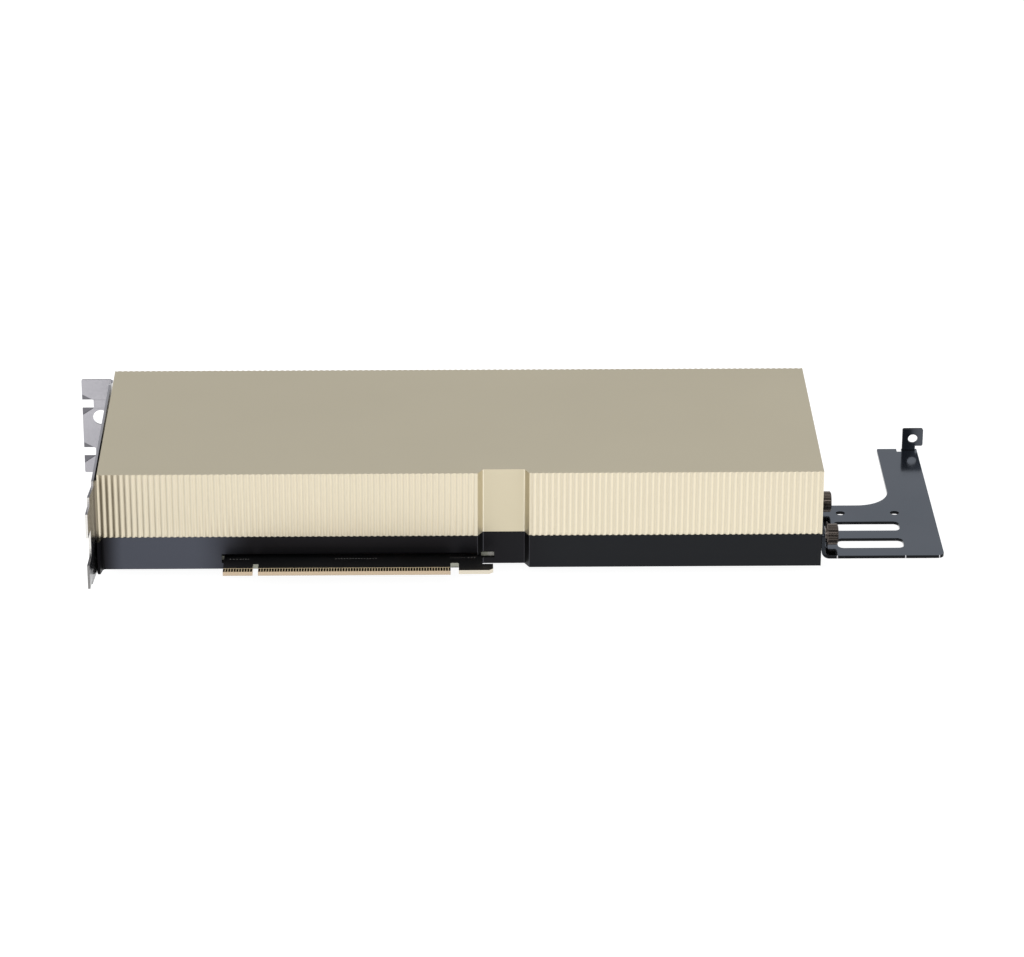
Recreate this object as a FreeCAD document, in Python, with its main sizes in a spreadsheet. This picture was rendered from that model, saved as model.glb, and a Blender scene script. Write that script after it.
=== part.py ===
import FreeCAD, Part
import Sketcher
import math
import os

# Passive accelerator card: a full-length, two-slot plug-in card cooled by the
# server's own fans.  A ribbed metal cover closes over a black base tray; the
# board, heatsink and power parts lie between them.  The I/O bracket stands at
# the left end and a steel extender bracket is held on the right end by two
# thumbscrews.
#
# Card coordinates used in the sketches (mm):
#   X  0 at the cover's left end, positive to the right (length)
#   Y  0 at the front long side, the side with the edge connector, positive back
#   Z  0 on the underside of the base tray, positive up
# Every sub-part is then placed so that the origin is the centre of the
# underside of the base tray.

V = FreeCAD.Vector
doc = FreeCAD.newDocument("accelerator_card")
sheet = doc.addObject("Spreadsheet::Sheet", "Sizes")


class Size:
    """A number together with the expression that gives it in the document."""

    def __init__(self, num, txt=None):
        self.num = float(num)
        self.txt = txt if txt is not None else repr(float(num))

    def _two(self, other, sign, value):
        return Size(value, "(%s %s %s)" % (self.txt, sign, other.txt))

    def __add__(self, other):
        o = as_size(other)
        return self._two(o, "+", self.num + o.num)

    def __radd__(self, other):
        return as_size(other) + self

    def __sub__(self, other):
        o = as_size(other)
        return self._two(o, "-", self.num - o.num)

    def __rsub__(self, other):
        return as_size(other) - self

    def __mul__(self, other):
        o = as_size(other)
        return self._two(o, "*", self.num * o.num)

    def __rmul__(self, other):
        return as_size(other) * self

    def __truediv__(self, other):
        o = as_size(other)
        return self._two(o, "/", self.num / o.num)

    def __neg__(self):
        return Size(-self.num, "(0 - %s)" % self.txt)


def as_size(v):
    return v if isinstance(v, Size) else Size(v)


_row = [0]


def cell(alias, value, note):
    """One driving dimension: name, plain number and what it is."""
    _row[0] += 1
    n = _row[0]
    sheet.set("A%d" % n, alias)
    sheet.set("B%d" % n, repr(value))
    sheet.set("C%d" % n, note)
    sheet.setAlias("B%d" % n, alias)
    return Size(value, "Sizes.%s" % alias)


# ------------------------------------------------------------ driving sizes
card_len = cell("card_len", 267.0, "cover length along X")
card_wid = cell("card_wid", 99.4, "cover width along Y")
cover_top = cell("cover_top", 38.1, "top face of the cover")
seam = cell("seam_height", 12.95, "parting plane between tray and cover")
roof = cell("roof_thick", 1.5, "cover roof thickness")
wall = cell("wall_thick", 2.0, "cover and tray side wall thickness")
rib_pitch = cell("rib_pitch", 2.1707, "pitch of the vertical ribs")
rib_first = cell("rib_first_groove", 0.78, "centre of the first groove")
rib_flat = cell("rib_flat", 0.16, "flat width left on a rib's crest")
rib_depth = cell("rib_depth", 0.40, "depth of a groove")
rib_r = cell("rib_groove_radius", 0.72, "radius at the bottom of a groove")
rec_a = cell("recess_start", 139.57, "left edge of the front recess")
rec_b = cell("recess_flat_left", 141.67, "left end of its flat")
rec_c = cell("recess_flat_right", 156.94, "right end of its flat")
rec_d = cell("recess_end", 158.70, "right edge of the front recess")
rec_y = cell("recess_depth", 3.75, "depth of the recess")
rec_in = cell("recess_inner_radius", 0.55, "radius in the recess's inner corners")
rec_out = cell("recess_outer_radius", 0.35, "radius on the recess's outer corners")

tray_len = cell("tray_len", 266.9, "tray length")
tray_floor = cell("tray_floor", 1.2, "tray floor thickness")
tray_face = cell("tray_face", 0.1, "front face of the tray")
slot_a = cell("tongue_slot_left", 45.0, "left end of the tongue slot")
slot_b = cell("tongue_slot_right", 145.85, "right end of the tongue slot")
slot_lo = cell("tongue_slot_low", 2.3, "bottom of the tongue slot")
slot_hi = cell("tongue_slot_high", 5.9, "top of the tongue slot")
win_hi = cell("hook_window_high", 4.95, "top of the slot where it runs into the recess")

pcb_lo = cell("board_low", 2.5, "underside of the board")
pcb_t = cell("board_thick", 1.57, "board thickness")
pcb_x0 = cell("board_left", 2.4, "left edge of the board")
pcb_x1 = cell("board_right", 262.0, "right edge of the board")
pcb_y0 = cell("board_front", 2.6, "front edge of the board, left of the tongue")
pcb_y1 = cell("board_back", 97.0, "back edge of the board")
pcb_y2 = cell("board_front_right", 6.0, "front edge of the board, right of the hook")
ton_a = cell("tongue_left", 45.84, "left edge of the connector tongue")
ton_y = cell("tongue_reach", 11.75, "how far the tongue stands out in front")
key_a = cell("key_left", 56.76, "left side of the key notch")
key_b = cell("key_right", 58.76, "right side of the key notch")
key_y = cell("key_end", 4.9, "inner end of the key notch, in front of Y 0")
ret_a = cell("retention_left", 129.51, "left side of the retention notch")
ret_b = cell("retention_right", 132.58, "right side of the retention notch")
ret_y = cell("retention_end", 4.55, "inner end of the retention notch")
hook_b = cell("hook_right", 145.24, "right edge of the hook")
hook_y = cell("hook_reach", 10.89, "outer edge of the hook")
hook_in = cell("hook_inner", 5.4, "inner edge of the hook")
hook_x = cell("hook_root_right", 141.25, "right side of the hook's root, at the hook")
hook_x2 = cell("hook_root_right_back", 140.85, "right side of the hook's root, at the board")
pad_pitch = cell("pad_pitch", 1.0, "contact pitch")
pad_w = cell("pad_width", 0.7, "contact width")
pad_t = cell("pad_thick", 0.04, "contact plating height")
pad_in = cell("pad_inner", 8.6, "inner end of the contacts, in front of Y 0")
pad_out = cell("pad_outer", 11.3, "outer end of the contacts, in front of Y 0")

brk_t = cell("bracket_thick", 0.86, "bracket sheet thickness")
brk_x = cell("bracket_inner", 0.94, "inner face of the bracket, left of X 0")
brk_hi = cell("bracket_top", 36.8, "top edge of the bracket")
brk_lo = cell("bracket_low", 0.2, "bottom edge of the bracket, below Z 0")
brk_y = cell("bracket_front", 2.35, "front edge of the wide part, in front of Y 0")
web_y = cell("bracket_web", 12.45, "front edge of the web, in front of Y 0")
tip_y = cell("bracket_tip", 19.7, "tip of the tongues, in front of Y 0")
bend_y = cell("bracket_bend", 1.0, "where the sheet starts to lean out, in front of Y 0")
web_x = cell("bracket_web_out", 1.85, "inner face at the web's front edge, left of X 0")
tip_x = cell("bracket_tip_out", 2.1, "inner face at the tongues' tips, left of X 0")
tab_y = cell("tab_face", 99.49, "front face of the tab")
tab_x = cell("tab_reach", 13.3, "outer edge of the tab, left of X 0")
tab_lo = cell("tab_low", 4.8, "bottom end of the tab, below Z 0")
tab_hi = cell("tab_high", 34.4, "top end of the tab")
notch_w = cell("tab_notch_width", 3.55, "width of the tab's open notches")
notch_z = cell("tab_notch_low", 3.95, "height of the lower notch's centre")
slot_pitch = cell("slot_pitch", 20.32, "expansion slot pitch")
vent_w = cell("vent_width", 3.2, "width of a vent slot")
vent_h = cell("vent_height", 17.0, "height of a vent slot")
vent_p = cell("vent_pitch", 5.0, "pitch of the vent slots")
vent_n = cell("vent_count", 17, "number of vent slots")

ext_t = cell("extender_thick", 1.2, "extender sheet thickness")
ext_z = cell("extender_top", 3.9, "top face of the extender plate")
ext_x0 = cell("extender_flange", 267.1, "left face of the extender flange")
ext_y0 = cell("extender_front", 0.35, "front edge of the extender")
ext_y1 = cell("extender_arm_back", 45.3, "back edge of the extender arm")
ext_x1 = cell("extender_leg_left", 297.2, "left edge of the extender leg")
ext_x2 = cell("extender_leg_right", 312.85, "right edge of the extender leg")
ext_y2 = cell("extender_leg_back", 98.65, "back end of the extender leg")
ext_hi = cell("extender_flange_top", 13.4, "top of the extender flange")
ext_r = cell("extender_bend", 1.75, "inner bend radius of the extender")
ext_f = cell("extender_corner", 12.8, "fillet between arm and leg")
sl_a = cell("arm_slot_left", 274.0, "left end of the arm's two long slots")
sl_b = cell("arm_slot_right", 298.65, "right end of the long slots")
sl_f0 = cell("arm_slot_front_near", 7.1, "front side of the front slot")
sl_f1 = cell("arm_slot_front_far", 15.6, "back side of the front slot")
sl_r0 = cell("arm_slot_rear_near", 22.4, "front side of the rear slot")
sl_r1 = cell("arm_slot_rear_far", 30.5, "back side of the rear slot")
sl_rad = cell("arm_slot_radius", 2.2, "corner radius of the long slots")

scr_z = cell("thumbscrew_height", 9.1, "height of the thumbscrew axes")
scr_y1 = cell("thumbscrew_front_y", 8.2, "front thumbscrew axis")
scr_y2 = cell("thumbscrew_rear_y", 37.4, "rear thumbscrew axis")
scr_d = cell("thumbscrew_head", 7.9, "knurled head diameter")
shank_d = cell("thumbscrew_shank", 3.0, "thumbscrew shank diameter")
bore_d = cell("insert_bore", 3.04, "insert bore diameter")

sink_lo = cell("heatsink_low", 10.97, "underside of the heatsink base")
sink_base = cell("heatsink_base", 2.6, "heatsink base thickness")
sink_hi = cell("heatsink_top", 36.1, "tops of the fins")
sink_x0 = cell("heatsink_left", 13.0, "left end of the heatsink")
sink_x1 = cell("heatsink_right", 235.0, "right end of the heatsink")
sink_y0 = cell("heatsink_front", 7.0, "front side of the heatsink")
fin_t = cell("fin_thick", 0.6, "fin thickness")
fin_p = cell("fin_pitch", 2.1, "fin pitch")
fin_n = cell("fin_count", 42, "number of fins")
gpu_x = cell("processor_x", 120.0, "processor centre, X")
gpu_y = cell("processor_y", 52.0, "processor centre, Y")
gpu_w = cell("processor_width", 55.0, "processor package width")
gpu_t = cell("processor_thick", 2.0, "package thickness with its solder balls")
die_t = cell("die_thick", 0.8, "height of die and memory stacks")

pcb_hi = pcb_lo + pcb_t
NODES = []


# ----------------------------------------------------------------- helpers
def place(obj):
    """Card corner to the row's origin, the centre of the tray's underside."""
    obj.setExpression("Placement.Base.x", "0 - Sizes.card_len / 2")
    obj.setExpression("Placement.Base.y", "0 - Sizes.card_wid / 2")
    if obj not in NODES:
        NODES.append(obj)


def make_body(label):
    b = doc.addObject("PartDesign::Body", label)
    b.Label = label
    place(b)
    return b


def attach(body, name, role, offset=0.0):
    """A sketch on one of the body's own origin planes, moved along its normal."""
    s = body.newObject("Sketcher::SketchObject", name)
    for f in body.Origin.OriginFeatures:
        if f.Role == role:
            s.AttachmentSupport = [(f, "")]
    s.MapMode = "FlatFace"
    o = as_size(offset)
    s.AttachmentOffset = FreeCAD.Placement(V(0, 0, o.num), FreeCAD.Rotation())
    if isinstance(offset, Size):
        s.setExpression("AttachmentOffset.Base.z", o.txt)
    return s


def fix(s, kind, geo, pos, value):
    """Hold one coordinate of a sketch point, by expression where it has one."""
    v = as_size(value)
    n = s.addConstraint(Sketcher.Constraint(kind, -1, 1, geo, pos, v.num))
    if isinstance(value, Size):
        s.setExpression("Constraints[%d]" % n, v.txt)


def poly(s, pts):
    """A closed straight-sided outline with every corner held."""
    n0 = s.GeometryCount
    num = [(as_size(a).num, as_size(b).num) for a, b in pts]
    k = len(pts)
    s.addGeometry([Part.LineSegment(V(num[i][0], num[i][1], 0),
                                    V(num[(i + 1) % k][0], num[(i + 1) % k][1], 0))
                   for i in range(k)], False)
    s.addConstraint([Sketcher.Constraint("Coincident", n0 + i, 2, n0 + (i + 1) % k, 1)
                     for i in range(k)])
    for i, (a, b) in enumerate(pts):
        fix(s, "DistanceX", n0 + i, 1, a)
        fix(s, "DistanceY", n0 + i, 1, b)


def rect(s, x0, y0, x1, y1):
    poly(s, [(x0, y0), (x1, y0), (x1, y1), (x0, y1)])


def circle(s, x, y, dia):
    n = s.addGeometry(Part.Circle(V(as_size(x).num, as_size(y).num, 0), V(0, 0, 1),
                                  as_size(dia).num / 2), False)
    fix(s, "DistanceX", n, 3, x)
    fix(s, "DistanceY", n, 3, y)
    c = s.addConstraint(Sketcher.Constraint("Diameter", n, as_size(dia).num))
    if isinstance(dia, Size):
        s.setExpression("Constraints[%d]" % c, dia.txt)


def slot(s, x0, x1, y, width, upright=False):
    """A round-ended slot from x0 to x1 about y (along the sketch's y if upright)."""
    w = as_size(width)
    r = w / 2
    a = as_size(x0) + r
    b = as_size(x1) - r
    yv = as_size(y)
    n0 = s.GeometryCount
    hp = math.pi / 2
    if upright:
        ca, cb = V(yv.num, a.num, 0), V(yv.num, b.num, 0)
        d = V(r.num, 0, 0)
        t = 0.0
    else:
        ca, cb = V(a.num, yv.num, 0), V(b.num, yv.num, 0)
        d = V(0, -r.num, 0)
        t = -hp
    z = V(0, 0, 1)
    # end arc at b turns from +d to -d, end arc at a from -d to +d
    s.addGeometry([Part.LineSegment(ca + d, cb + d),
                   Part.ArcOfCircle(Part.Circle(cb, z, r.num), t, t + math.pi),
                   Part.LineSegment(cb - d, ca - d),
                   Part.ArcOfCircle(Part.Circle(ca, z, r.num), t + math.pi, t + 2 * math.pi)],
                  False)
    s.addConstraint([Sketcher.Constraint("Tangent", n0, 2, n0 + 1, 1),
                     Sketcher.Constraint("Tangent", n0 + 1, 2, n0 + 2, 1),
                     Sketcher.Constraint("Tangent", n0 + 2, 2, n0 + 3, 1),
                     Sketcher.Constraint("Tangent", n0 + 3, 2, n0, 1)])
    c = s.addConstraint(Sketcher.Constraint("Radius", n0 + 1, r.num))
    s.setExpression("Constraints[%d]" % c, r.txt)
    if upright:
        fix(s, "DistanceX", n0 + 1, 3, yv)
        fix(s, "DistanceY", n0 + 1, 3, b)
        fix(s, "DistanceX", n0 + 3, 3, yv)
        fix(s, "DistanceY", n0 + 3, 3, a)
    else:
        fix(s, "DistanceX", n0 + 1, 3, b)
        fix(s, "DistanceY", n0 + 1, 3, yv)
        fix(s, "DistanceX", n0 + 3, 3, a)
        fix(s, "DistanceY", n0 + 3, 3, yv)


def feature(body, kind, name, sk, length, rev=False):
    f = body.newObject(kind, name)
    f.Profile = sk
    v = as_size(length)
    f.Length = v.num
    if isinstance(length, Size):
        f.setExpression("Length", v.txt)
    f.Reversed = rev
    sk.Visibility = False
    return f


def pad(body, name, sk, length, rev=False):
    return feature(body, "PartDesign::Pad", name, sk, length, rev)


def pocket(body, name, sk, length, rev=False):
    """A pocket that must remove metal: the volume is compared."""
    doc.recompute()
    before = body.Tip.Shape.Volume
    f = feature(body, "PartDesign::Pocket", name, sk, length, rev)
    doc.recompute()
    if not body.Tip.Shape.Volume < before - 1e-3:
        raise RuntimeError("%s: %s cuts nothing" % (body.Label, name))
    return f


def repeat(body, name, feat, sk, axis, pitch, count):
    """A row of equal features along one of the sketch's axes."""
    doc.recompute()
    before = body.Tip.Shape.Volume
    p = body.newObject("PartDesign::LinearPattern", name)
    p.Originals = [feat]
    p.Direction = (sk, [axis])
    pv, cv = as_size(pitch), as_size(count)
    span = pv * (cv - 1)
    p.Length = abs(span.num)
    p.setExpression("Length", span.txt)
    p.Occurrences = int(cv.num)
    p.setExpression("Occurrences", cv.txt)
    body.Tip = p
    doc.recompute()
    if abs(body.Tip.Shape.Volume - before) < 1e-4:
        raise RuntimeError("%s: %s repeats nothing" % (body.Label, name))
    return p


def round_edges(body, name, radius, test):
    """Fillet the edges of the body's tip that the test picks out."""
    doc.recompute()
    base = body.Tip
    picked = []
    for i, e in enumerate(base.Shape.Edges):
        if test(e):
            picked.append("Edge%d" % (i + 1))
    if not picked:
        raise RuntimeError("%s: %s finds no edge" % (body.Label, name))
    f = body.newObject("PartDesign::Fillet", name)
    f.Base = (base, picked)
    v = as_size(radius)
    f.Radius = v.num
    if isinstance(radius, Size):
        f.setExpression("Radius", v.txt)
    doc.recompute()
    return f


def along(e, axis, **at):
    """True for a straight edge along an axis that passes through a place."""
    if len(e.Vertexes) != 2 or e.Curve.TypeId != "Part::GeomLine":
        return False
    a, b = e.Vertexes[0].Point, e.Vertexes[1].Point
    d = {"x": abs(a.x - b.x), "y": abs(a.y - b.y), "z": abs(a.z - b.z)}
    if d[axis] < 1e-6 or sum(v for k, v in d.items() if k != axis) > 1e-6:
        return False
    for k, want in at.items():
        if abs(getattr(a, k) - as_size(want).num) > 0.02:
            return False
    return True


def block(name, x, y, z, dx, dy, dz):
    """A box from its low corner and its three sizes."""
    b = doc.addObject("Part::Box", name)
    b.Placement = FreeCAD.Placement(V(as_size(x).num, as_size(y).num, as_size(z).num),
                                    FreeCAD.Rotation())
    for prop, v in (("Length", dx), ("Width", dy), ("Height", dz)):
        setattr(b, prop, as_size(v).num)
    for prop, v in (("Placement.Base.x", x), ("Placement.Base.y", y),
                    ("Placement.Base.z", z), ("Length", dx), ("Width", dy), ("Height", dz)):
        if isinstance(v, Size):
            b.setExpression(prop, v.txt)
    return b


TURN = {"z": FreeCAD.Rotation(),
        "x": FreeCAD.Rotation(V(0, 1, 0), 90),
        "y": FreeCAD.Rotation(V(1, 0, 0), -90)}


def rod(name, x, y, z, dia, length, axis="z"):
    """A cylinder that starts at a point and runs in +axis."""
    c = doc.addObject("Part::Cylinder", name)
    c.Placement = FreeCAD.Placement(V(as_size(x).num, as_size(y).num, as_size(z).num), TURN[axis])
    c.Radius = as_size(dia).num / 2
    c.Height = as_size(length).num
    for prop, v in (("Placement.Base.x", x), ("Placement.Base.y", y), ("Placement.Base.z", z),
                    ("Height", length)):
        if isinstance(v, Size):
            c.setExpression(prop, v.txt)
    if isinstance(dia, Size):
        c.setExpression("Radius", "%s / 2" % dia.txt)
    return c


def cone(name, x, y, z, d1, d2, length, axis="z"):
    c = doc.addObject("Part::Cone", name)
    c.Placement = FreeCAD.Placement(V(as_size(x).num, as_size(y).num, as_size(z).num), TURN[axis])
    c.Radius1 = as_size(d1).num / 2
    c.Radius2 = as_size(d2).num / 2
    c.Height = as_size(length).num
    return c


def fuse(name, items):
    f = doc.addObject("Part::MultiFuse", name)
    f.Shapes = items
    f.Refine = True
    return f


def cut(name, base, tool):
    c = doc.addObject("Part::Cut", name)
    c.Base = base
    c.Tool = tool
    return c


def group(name, items):
    """Several equal pieces that share one node."""
    g = doc.addObject("Part::Compound", name)
    g.Label = name
    g.Links = items
    place(g)
    return g


# ------------------------------------------------------------------ shroud
# Gold cover: roof and two ribbed side walls, open at both ends for the air.
b = make_body("shroud")
s = attach(b, "cover_outline", "XY_Plane", seam)
poly(s, [(0.0, 0.0), (rec_a, 0.0), (rec_b, rec_y), (rec_c, rec_y), (rec_d, 0.0),
         (card_len, 0.0), (card_len, card_wid), (0.0, card_wid)])
pad(b, "cover_block", s, cover_top - seam)
round_edges(b, "recess_inner", rec_in, lambda e: along(e, "z", x=rec_b, y=rec_y)
            or along(e, "z", x=rec_c, y=rec_y))
round_edges(b, "recess_outer", rec_out, lambda e: along(e, "z", x=rec_a, y=0.0))
s = attach(b, "cover_hollow", "XY_Plane", seam)
poly(s, [(-1.0, wall), (rec_a - 1.1, wall), (rec_b - 1.1, rec_y + wall),
         (rec_c + 1.1, rec_y + wall), (rec_d + 1.1, wall), (card_len + 1.0, wall),
         (card_len + 1.0, card_wid - wall), (-1.0, card_wid - wall)])
pocket(b, "cover_inside", s, cover_top - seam - roof, rev=True)
# Square posts in the corners take the cover screws.
s = attach(b, "post_outline", "XY_Plane", seam)
POSTS = [(6.5, 8.0), (6.5, 91.4), (242.0, 8.0), (242.0, 91.4)]
for px, py in POSTS:
    circle(s, px, py, 7.0)
pad(b, "posts", s, cover_top - seam - roof / 2)
s = attach(b, "post_holes", "XY_Plane", seam)
for px, py in POSTS:
    circle(s, px, py, 3.04)
pocket(b, "post_bores", s, 10.0, rev=True)
# A short return of the front wall closes the gap to the bracket.
s = attach(b, "return_outline", "XY_Plane", seam)
rect(s, 0.04 - brk_x, rib_depth, 0.6, wall - 0.4)
pad(b, "front_return", s, 22.4)
# Shallow wave on both long sides: a round-bottomed groove between rounded
# crests, three arcs that run into each other, repeated at the rib pitch.
rib_w = (rib_pitch - rib_flat) / 2
rib_sum = (rib_w * rib_w + rib_depth * rib_depth) / (2 * rib_depth)
crest_r = rib_sum - rib_r


def groove(name, index, count, side):
    xc = rib_first + rib_pitch * index
    left, right = xc - rib_w, xc + rib_w
    t = math.asin(rib_w.num / rib_sum.num)
    q = math.pi / 2
    up = V(0, 0, 1)
    sk = attach(b, name + "_outline", "XY_Plane", seam)
    if side == "front":
        yo, yc, yg, ye = as_size(0.0), crest_r, rib_depth - rib_r, as_size(-0.5)
        arcs = [(left, yc, crest_r, -q, t - q), (xc, yg, rib_r, q - t, q + t),
                (right, yc, crest_r, 3 * q - t, 3 * q)]
        ends = ((1, 2), (2, 1), (1, 2))
    else:
        yo, yc, yg, ye = card_wid, card_wid - crest_r, card_wid - rib_depth + rib_r, card_wid + 0.5
        arcs = [(left, yc, crest_r, q - t, q), (xc, yg, rib_r, -q - t, t - q),
                (right, yc, crest_r, q, q + t)]
        ends = ((2, 1), (1, 2), (2, 1))
    sk.addGeometry([Part.ArcOfCircle(Part.Circle(V(x.num, y.num, 0), up, r.num), a0, a1)
                    for x, y, r, a0, a1 in arcs]
                   + [Part.LineSegment(V(right.num, yo.num, 0), V(right.num, ye.num, 0)),
                      Part.LineSegment(V(right.num, ye.num, 0), V(left.num, ye.num, 0)),
                      Part.LineSegment(V(left.num, ye.num, 0), V(left.num, yo.num, 0))], False)
    c = Sketcher.Constraint
    o0, t0 = ends[0]
    tl, tr = ends[1]
    t2, o2 = ends[2]
    sk.addConstraint([c("Tangent", 0, t0, 1, tl), c("Tangent", 1, tr, 2, t2),
                      c("Coincident", 2, o2, 3, 1), c("Coincident", 3, 2, 4, 1),
                      c("Coincident", 4, 2, 5, 1), c("Coincident", 5, 2, 0, o0),
                      c("Vertical", 3), c("Horizontal", 4), c("Vertical", 5)])
    for i, (x, y, r, a0, a1) in enumerate(arcs):
        fix(sk, "DistanceX", i, 3, x)
        fix(sk, "DistanceY", i, 3, y)
    n = sk.addConstraint(c("Radius", 1, rib_r.num))
    sk.setExpression("Constraints[%d]" % n, rib_r.txt)
    fix(sk, "DistanceX", 0, o0, left)
    fix(sk, "DistanceX", 2, o2, right)
    fix(sk, "DistanceY", 4, 1, ye)
    f = pocket(b, name, sk, cover_top - seam + 0.5, rev=True)
    repeat(b, name + "_row", f, sk, "H_Axis", rib_pitch, count)


groove("groove_left", 0, 64, "front")
groove("groove_right", 73, 50, "front")
groove("groove_back", 0, 123, "back")

# --------------------------------------------------------------- base tray
# Black lower half: floor, side walls and low end walls round the board.
b = make_body("base_tray")
s = attach(b, "tray_outline", "XY_Plane")
poly(s, [(0.0, tray_face), (rec_a, tray_face), (rec_b, rec_y), (rec_c, rec_y),
         (rec_d, tray_face), (tray_len, tray_face), (tray_len, card_wid), (0.0, card_wid)])
pad(b, "tray_block", s, seam)
round_edges(b, "recess_inner", rec_in, lambda e: along(e, "z", x=rec_b, y=rec_y)
            or along(e, "z", x=rec_c, y=rec_y))
round_edges(b, "recess_outer", rec_out, lambda e: along(e, "z", x=rec_a, y=tray_face)
            or along(e, "z", x=rec_d, y=tray_face))
s = attach(b, "tray_hollow", "XY_Plane", tray_floor)
poly(s, [(wall, wall), (rec_a - 1.1, wall), (rec_b - 1.1, rec_y + wall),
         (rec_c + 1.1, rec_y + wall), (rec_d + 1.1, wall), (tray_len - wall, wall),
         (tray_len - wall, card_wid - wall), (wall, card_wid - wall)])
pocket(b, "tray_inside", s, seam, rev=True)
# Locating lug at the front left corner.
s = attach(b, "lug_outline", "XY_Plane")
poly(s, [(-0.85, tray_face + 0.5), (-0.85, -3.0), (-0.5, -4.2), (0.4, -4.2), (0.75, -2.4),
         (1.05, -0.7), (1.6, tray_face), (1.6, tray_face + 0.5)])
pad(b, "lug", s, seam)
# Stepped posts: the wide foot carries the board, the neck passes through it.
s = attach(b, "foot_outline", "XY_Plane", tray_floor / 2)
for px, py in POSTS:
    circle(s, px, py, 8.6)
BOARD_SCREWS = [(40.0, 13.0), (40.0, 90.0), (200.0, 13.0), (200.0, 90.0), (228.0, 13.0), (228.0, 90.0)]
for px, py in BOARD_SCREWS:
    circle(s, px, py, 6.0)
pad(b, "feet", s, pcb_lo - tray_floor / 2)
s = attach(b, "neck_outline", "XY_Plane", tray_floor / 2)
for px, py in POSTS:
    circle(s, px, py, 6.2)
pad(b, "necks", s, seam - tray_floor / 2)
# Inside bosses on the end walls for the bracket screws and the inserts.
BRACKET_SCREWS = [(20.0, 8.6), (50.0, 8.6), (80.0, 8.6)]
s = attach(b, "left_boss_outline", "YZ_Plane", -brk_x)
for py, pz in BRACKET_SCREWS:
    circle(s, py, pz, 6.4)
pad(b, "left_bosses", s, brk_x + wall + 3.0)
s = attach(b, "right_boss_outline", "YZ_Plane", tray_len - 4.4)
circle(s, scr_y1, scr_z, 7.4)
circle(s, scr_y2, scr_z, 7.4)
pad(b, "right_bosses", s, 4.4 - wall / 2)
s = attach(b, "insert_holes_outline", "YZ_Plane", tray_len)
circle(s, scr_y1, scr_z, 5.0)
circle(s, scr_y2, scr_z, 5.0)
pocket(b, "insert_holes", s, 4.0)
s = attach(b, "bracket_holes_outline", "YZ_Plane", -brk_x)
for py, pz in BRACKET_SCREWS:
    circle(s, py, pz, 2.54)
pocket(b, "bracket_holes", s, 6.5, rev=True)
# Slot in the front wall for the connector tongue and its hook.
s = attach(b, "tongue_slot_outline", "XY_Plane", slot_lo)
rect(s, slot_a, -1.0, rec_a, wall + 1.7)
pocket(b, "tongue_slot", s, slot_hi - slot_lo, rev=True)
s = attach(b, "hook_window_outline", "XY_Plane", slot_lo)
rect(s, rec_a - 0.5, -1.0, slot_b, rec_y + wall + 0.5)
pocket(b, "hook_window", s, win_hi - slot_lo, rev=True)
# Cut-out in the right end wall for the power plug.
s = attach(b, "power_gap_outline", "YZ_Plane", tray_len + 1.0)
rect(s, 68.5, 3.6, 90.5, seam + 1.0)
pocket(b, "power_gap", s, wall + 2.0)
# Floor holes: heads of the heatsink screws, board screws, cover screws.
SINK_SCREWS = [(95.0, 17.0), (145.0, 17.0), (95.0, 87.0), (145.0, 87.0)]
s = attach(b, "floor_holes_outline", "XY_Plane")
for px, py in SINK_SCREWS:
    circle(s, px, py, 7.0)
pocket(b, "floor_holes", s, tray_floor + 0.5, rev=True)
s = attach(b, "board_holes_outline", "XY_Plane", pcb_lo)
for px, py in BOARD_SCREWS:
    circle(s, px, py, 2.54)
pocket(b, "board_holes", s, 1.7)
s = attach(b, "cover_holes_outline", "XY_Plane")
for px, py in POSTS:
    circle(s, px, py, 3.3)
pocket(b, "cover_holes", s, seam + 1.0, rev=True)
s = attach(b, "cover_seat_outline", "XY_Plane")
for px, py in POSTS:
    circle(s, px, py, 6.0)
pocket(b, "cover_seats", s, 1.5, rev=True)

# ------------------------------------------------------------------- board
b = make_body("circuit_board")
s = attach(b, "board_outline", "XY_Plane", pcb_lo)
poly(s, [(pcb_x0, pcb_y0), (ton_a, pcb_y0), (ton_a, 0.5 - ton_y), (ton_a + 0.5, -ton_y),
         (key_a - 0.5, -ton_y), (key_a, 0.5 - ton_y), (key_a, -key_y), (key_b, -key_y),
         (key_b, 0.5 - ton_y), (key_b + 0.5, -ton_y), (ret_a - 0.5, -ton_y), (ret_a, 0.5 - ton_y),
         (ret_a, -ret_y), (ret_b, -ret_y), (ret_b, -hook_y), (hook_b - 1.4, -hook_y),
         (hook_b, 1.4 - hook_y), (hook_b, -hook_in), (hook_x, -hook_in), (hook_x2, 5.1),
         (145.8, 5.1), (145.8, pcb_y2), (pcb_x1, pcb_y2), (pcb_x1, pcb_y1), (pcb_x0, pcb_y1)])
pad(b, "board", s, pcb_t)
round_edges(b, "notch_corners", 0.7, lambda e: along(e, "z", x=ret_a, y=-ret_y)
            or along(e, "z", x=ret_b, y=-ret_y))
s = attach(b, "board_hole_outline", "XY_Plane", pcb_hi)
for px, py in POSTS:
    circle(s, px, py, 6.6)
for px, py in BOARD_SCREWS:
    circle(s, px, py, 2.9)
for px, py in SINK_SCREWS:
    circle(s, px, py, 2.9)
pocket(b, "board_holes_cut", s, pcb_t + 1.0)
# Lead-in bevel on both faces of the tongue's outer edge.
doc.recompute()
base = b.Tip
edges = ["Edge%d" % (i + 1) for i, e in enumerate(base.Shape.Edges)
         if along(e, "x", y=-ton_y) and e.Length > 5.0]
if len(edges) != 4:
    raise RuntimeError("tongue bevel: %d edges" % len(edges))
f = b.newObject("PartDesign::Chamfer", "tongue_bevel")
f.Base = (base, edges)
f.Size = 0.42
doc.recompute()

# Plated contacts: eleven before the key and seventy-one after it, both faces.
doc.recompute()
b = make_body("edge_contacts")
b.AllowCompound = True


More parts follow.
